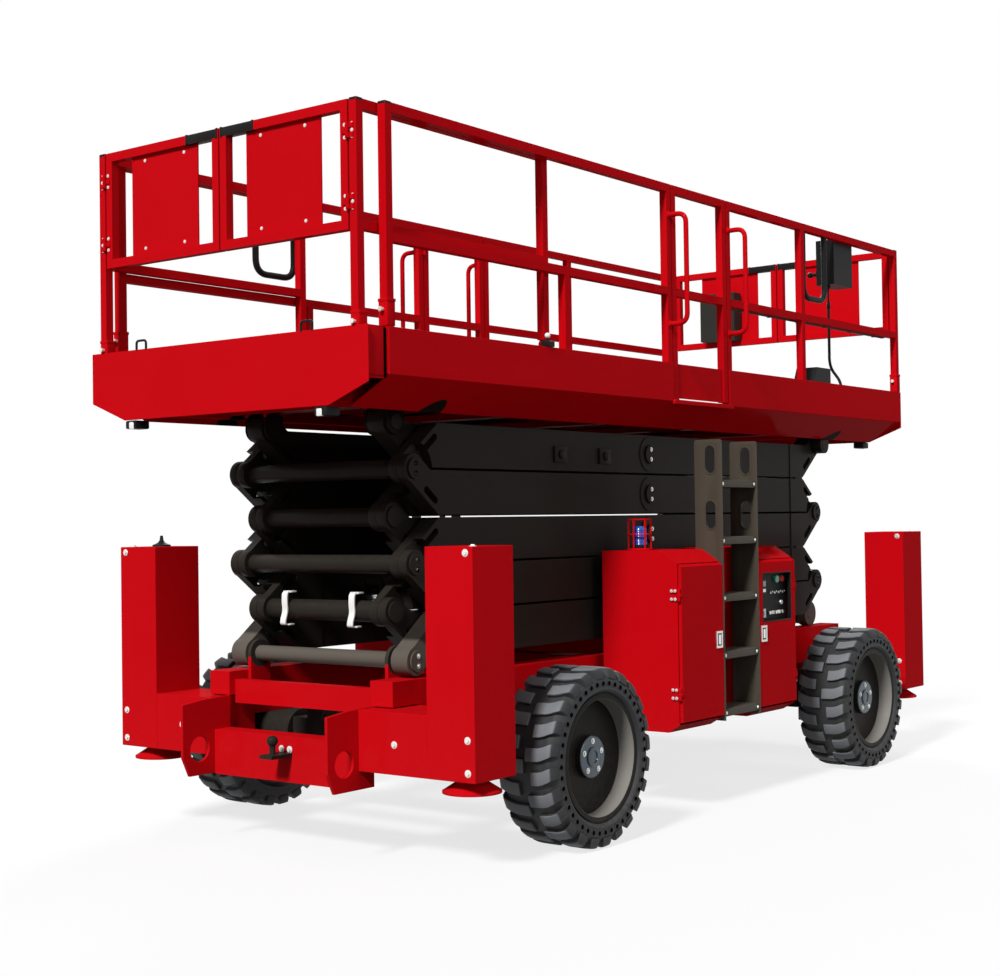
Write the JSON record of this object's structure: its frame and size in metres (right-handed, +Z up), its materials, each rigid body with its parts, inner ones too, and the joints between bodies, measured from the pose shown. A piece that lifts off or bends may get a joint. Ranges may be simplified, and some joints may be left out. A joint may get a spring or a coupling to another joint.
{
  "type": "scissor lift",
  "caption": "Rough-terrain scissor lift, lowered, with corner outriggers, folded arm stack, side ladders and a railed platform with a roll-out deck.",
  "frame": {"origin": "middle of the platform's length and width, on the ground under the tyres", "axes": "+X towards the steered end, -X towards the roll-out deck, +Z up"},
  "size_m": [5.122, 2.3078, 3.16],
  "materials": {
    "red_paint": "gloss paint",
    "black_paint": "satin paint",
    "grey_paint": "satin paint",
    "tyre": "matt rubber",
    "rod_steel": "ground and plated",
    "white_plastic": "moulded",
    "black_plastic": "moulded",
    "blue_lamp": "moulded",
    "grey_plastic": "moulded"
  },
  "bodies": {
    "base": {"chassis_frame": "red_paint", "outrigger_housings": "red_paint", "tow_ball": "black_paint", "rear_axle": "black_paint", "steer_axle": "black_paint", "cabinets": "red_paint", "engine_block": "grey_paint", "ladders": "grey_paint", "control_panel": "black_plastic", "beacon": "blue_lamp", "beacon_guard": "red_paint"},
    "door_rear_right": {"door_rear_right": "red_paint"},
    "door_front_right": {"door_front_right": "red_paint"},
    "door_rear_left": {"door_rear_left": "red_paint"},
    "door_front_left": {"door_front_left": "red_paint"},
    "knuckle_right": {"knuckle_right": "black_paint"},
    "knuckle_left": {"knuckle_left": "black_paint"},
    "wheel_rear_right": {"tyre_rear_right": "tyre", "rim_rear_right": "grey_paint"},
    "wheel_rear_left": {"tyre_rear_left": "tyre", "rim_rear_left": "grey_paint"},
    "wheel_front_right": {"tyre_front_right": "tyre", "rim_front_right": "grey_paint"},
    "wheel_front_left": {"tyre_front_left": "tyre", "rim_front_left": "grey_paint"},
    "leg_rear_right": {"leg_rear_right": "red_paint"},
    "leg_rear_left": {"leg_rear_left": "red_paint"},
    "leg_front_right": {"leg_front_right": "red_paint"},
    "leg_front_left": {"leg_front_left": "red_paint"},
    "outer_arms_1": {"outer_arms_1": "black_paint"},
    "outer_arms_2": {"outer_arms_2": "black_paint"},
    "outer_arms_3": {"outer_arms_3": "black_paint"},
    "outer_arms_4": {"outer_arms_4": "black_paint"},
    "outer_arms_5": {"outer_arms_5": "black_paint"},
    "inner_arms_1": {"inner_arms_1": "black_paint"},
    "inner_arms_2": {"inner_arms_2": "black_paint", "hose_clips": "white_plastic"},
    "inner_arms_3": {"inner_arms_3": "black_paint"},
    "inner_arms_4": {"inner_arms_4": "black_paint"},
    "inner_arms_5": {"inner_arms_5": "black_paint"},
    "lift_barrels": {"lift_barrels": "grey_paint"},
    "lift_rods": {"lift_rods": "rod_steel"},
    "platform": {"deck_frame": "red_paint", "side_rails": "red_paint", "grab_handles": "red_paint", "control_box": "black_plastic", "control_lead": "black_plastic", "rail_loops": "black_plastic"},
    "gate_right": {"gate_right": "red_paint"},
    "gate_left": {"gate_left": "red_paint"},
    "front_leaf_right": {"front_leaf_right": "red_paint"},
    "front_leaf_left": {"front_leaf_left": "red_paint", "document_box": "grey_plastic"},
    "roll_out_deck": {"ext_deck": "red_paint", "ext_rails": "red_paint"},
    "rear_leaf_right": {"rear_leaf_right": "red_paint"},
    "rear_leaf_left": {"rear_leaf_left": "red_paint"}
  },
  "joints": [
    {"name": "steer_right", "type": "hinge", "parent": "base", "child": "knuckle_right", "pos_m": [1.434, -0.79, 0.4], "axis": [0, 0, 1], "range_deg": [-35, 35]},
    {"name": "steer_left", "type": "hinge", "parent": "base", "child": "knuckle_left", "pos_m": [1.434, 0.79, 0.4], "axis": [0, 0, 1], "range_deg": [-35, 35]},
    {"name": "wheel_rear_right_spin", "type": "hinge", "parent": "base", "child": "wheel_rear_right", "pos_m": [-1.364, -1.0025, 0.4], "axis": [0, 1, 0], "continuous": true},
    {"name": "wheel_rear_left_spin", "type": "hinge", "parent": "base", "child": "wheel_rear_left", "pos_m": [-1.364, 1.0025, 0.4], "axis": [0, 1, 0], "continuous": true},
    {"name": "wheel_front_right_spin", "type": "hinge", "parent": "knuckle_right", "child": "wheel_front_right", "pos_m": [1.434, -1.0025, 0.4], "axis": [0, 1, 0], "continuous": true},
    {"name": "wheel_front_left_spin", "type": "hinge", "parent": "knuckle_left", "child": "wheel_front_left", "pos_m": [1.434, 1.0025, 0.4], "axis": [0, 1, 0], "continuous": true},
    {"name": "outrigger_rear_right", "type": "slide", "parent": "base", "child": "leg_rear_right", "axis": [0, 0, -1], "range_m": [0, 0.45]},
    {"name": "outrigger_rear_left", "type": "slide", "parent": "base", "child": "leg_rear_left", "axis": [0, 0, -1], "range_m": [0, 0.45]},
    {"name": "outrigger_front_right", "type": "slide", "parent": "base", "child": "leg_front_right", "axis": [0, 0, -1], "range_m": [0, 0.45]},
    {"name": "outrigger_front_left", "type": "slide", "parent": "base", "child": "leg_front_left", "axis": [0, 0, -1], "range_m": [0, 0.45]},
    {"name": "door_rear_right_open", "type": "hinge", "parent": "base", "child": "door_rear_right", "pos_m": [-0.571, -1.065, 0.85], "axis": [0, 0, -1], "range_deg": [0, 100]},
    {"name": "door_front_right_open", "type": "hinge", "parent": "base", "child": "door_front_right", "pos_m": [0.627, -1.065, 0.85], "axis": [0, 0, 1], "range_deg": [0, 100]},
    {"name": "door_rear_left_open", "type": "hinge", "parent": "base", "child": "door_rear_left", "pos_m": [-0.571, 1.065, 0.85], "axis": [0, 0, 1], "range_deg": [0, 100]},
    {"name": "door_front_left_open", "type": "hinge", "parent": "base", "child": "door_front_left", "pos_m": [0.627, 1.065, 0.85], "axis": [0, 0, -1], "range_deg": [0, 100]},
    {"name": "lift", "type": "hinge", "parent": "base", "child": "outer_arms_1", "pos_m": [-1.92401, 0, 0.845], "axis": [0, -1, 0], "range_deg": [0, 58.5]},
    {"name": "inner_1_cross", "type": "hinge", "parent": "outer_arms_1", "child": "inner_arms_1", "pos_m": [0, 0, 0.9505], "axis": [0, 1, 0], "range_deg": [0, 117]},
    {"name": "outer_2_fold", "type": "hinge", "parent": "outer_arms_1", "child": "outer_arms_2", "pos_m": [1.92401, 0, 1.056], "axis": [0, 1, 0], "range_deg": [0, 117]},
    {"name": "inner_2_cross", "type": "hinge", "parent": "outer_arms_2", "child": "inner_arms_2", "pos_m": [0, 0, 1.1615], "axis": [0, -1, 0], "range_deg": [0, 117]},
    {"name": "outer_3_fold", "type": "hinge", "parent": "outer_arms_2", "child": "outer_arms_3", "pos_m": [-1.92401, 0, 1.267], "axis": [0, -1, 0], "range_deg": [0, 117]},
    {"name": "inner_3_cross", "type": "hinge", "parent": "outer_arms_3", "child": "inner_arms_3", "pos_m": [0, 0, 1.3725], "axis": [0, 1, 0], "range_deg": [0, 117]},
    {"name": "outer_4_fold", "type": "hinge", "parent": "outer_arms_3", "child": "outer_arms_4", "pos_m": [1.92401, 0, 1.478], "axis": [0, 1, 0], "range_deg": [0, 117]},
    {"name": "inner_4_cross", "type": "hinge", "parent": "outer_arms_4", "child": "inner_arms_4", "pos_m": [0, 0, 1.5835], "axis": [0, -1, 0], "range_deg": [0, 117]},
    {"name": "outer_5_fold", "type": "hinge", "parent": "outer_arms_4", "child": "outer_arms_5", "pos_m": [-1.92401, 0, 1.689], "axis": [0, -1, 0], "range_deg": [0, 117]},
    {"name": "inner_5_cross", "type": "hinge", "parent": "outer_arms_5", "child": "inner_arms_5", "pos_m": [0, 0, 1.7945], "axis": [0, 1, 0], "range_deg": [0, 117]},
    {"name": "platform_level", "type": "hinge", "parent": "inner_arms_5", "child": "platform", "pos_m": [-1.92401, 0, 1.9], "axis": [0, -1, 0], "range_deg": [0, 58.5]},
    {"name": "cylinder_tilt", "type": "hinge", "parent": "inner_arms_1", "child": "lift_barrels", "pos_m": [0.67209, 0, 0.91365], "axis": [0, 1, 0], "range_deg": [0, 6.8]},
    {"name": "cylinder_stroke", "type": "slide", "parent": "lift_barrels", "child": "lift_rods", "axis": [-0.9967, 0, 0.0807], "range_m": [0, 0.801]},
    {"name": "roll_out", "type": "slide", "parent": "platform", "child": "roll_out_deck", "axis": [-1, 0, 0], "range_m": [0, 1.1]},
    {"name": "gate_right_swing", "type": "hinge", "parent": "platform", "child": "gate_right", "pos_m": [-0.231, -0.8, 2.6], "axis": [0, 0, 1], "range_deg": [0, 90]},
    {"name": "gate_left_swing", "type": "hinge", "parent": "platform", "child": "gate_left", "pos_m": [-0.231, 0.8, 2.6], "axis": [0, 0, -1], "range_deg": [0, 90]},
    {"name": "front_leaf_right_swing", "type": "hinge", "parent": "platform", "child": "front_leaf_right", "pos_m": [2.553, -0.804, 2.9], "axis": [0, 0, -1], "range_deg": [0, 90]},
    {"name": "front_leaf_left_swing", "type": "hinge", "parent": "platform", "child": "front_leaf_left", "pos_m": [2.553, 0.804, 2.9], "axis": [0, 0, 1], "range_deg": [0, 90]},
    {"name": "rear_leaf_right_swing", "type": "hinge", "parent": "roll_out_deck", "child": "rear_leaf_right", "pos_m": [-2.553, -0.756, 2.9], "axis": [0, 0, 1], "range_deg": [0, 90]},
    {"name": "rear_leaf_left_swing", "type": "hinge", "parent": "roll_out_deck", "child": "rear_leaf_left", "pos_m": [-2.553, 0.756, 2.9], "axis": [0, 0, -1], "range_deg": [0, 90]}
  ],
  "couplings": [
    {"joint": "steer_left", "follows": "steer_right", "ratio": 1},
    {"joint": "inner_1_cross", "follows": "lift", "ratio": 2},
    {"joint": "outer_2_fold", "follows": "lift", "ratio": 2},
    {"joint": "inner_2_cross", "follows": "lift", "ratio": 2},
    {"joint": "outer_3_fold", "follows": "lift", "ratio": 2},
    {"joint": "inner_3_cross", "follows": "lift", "ratio": 2},
    {"joint": "outer_4_fold", "follows": "lift", "ratio": 2},
    {"joint": "inner_4_cross", "follows": "lift", "ratio": 2},
    {"joint": "outer_5_fold", "follows": "lift", "ratio": 2},
    {"joint": "inner_5_cross", "follows": "lift", "ratio": 2},
    {"joint": "platform_level", "follows": "lift", "ratio": 1},
    {"joint": "cylinder_tilt", "follows": "lift", "ratio": 0.11599},
    {"joint": "cylinder_stroke", "follows": "lift", "m_per_rad": 0.78439}
  ]
}
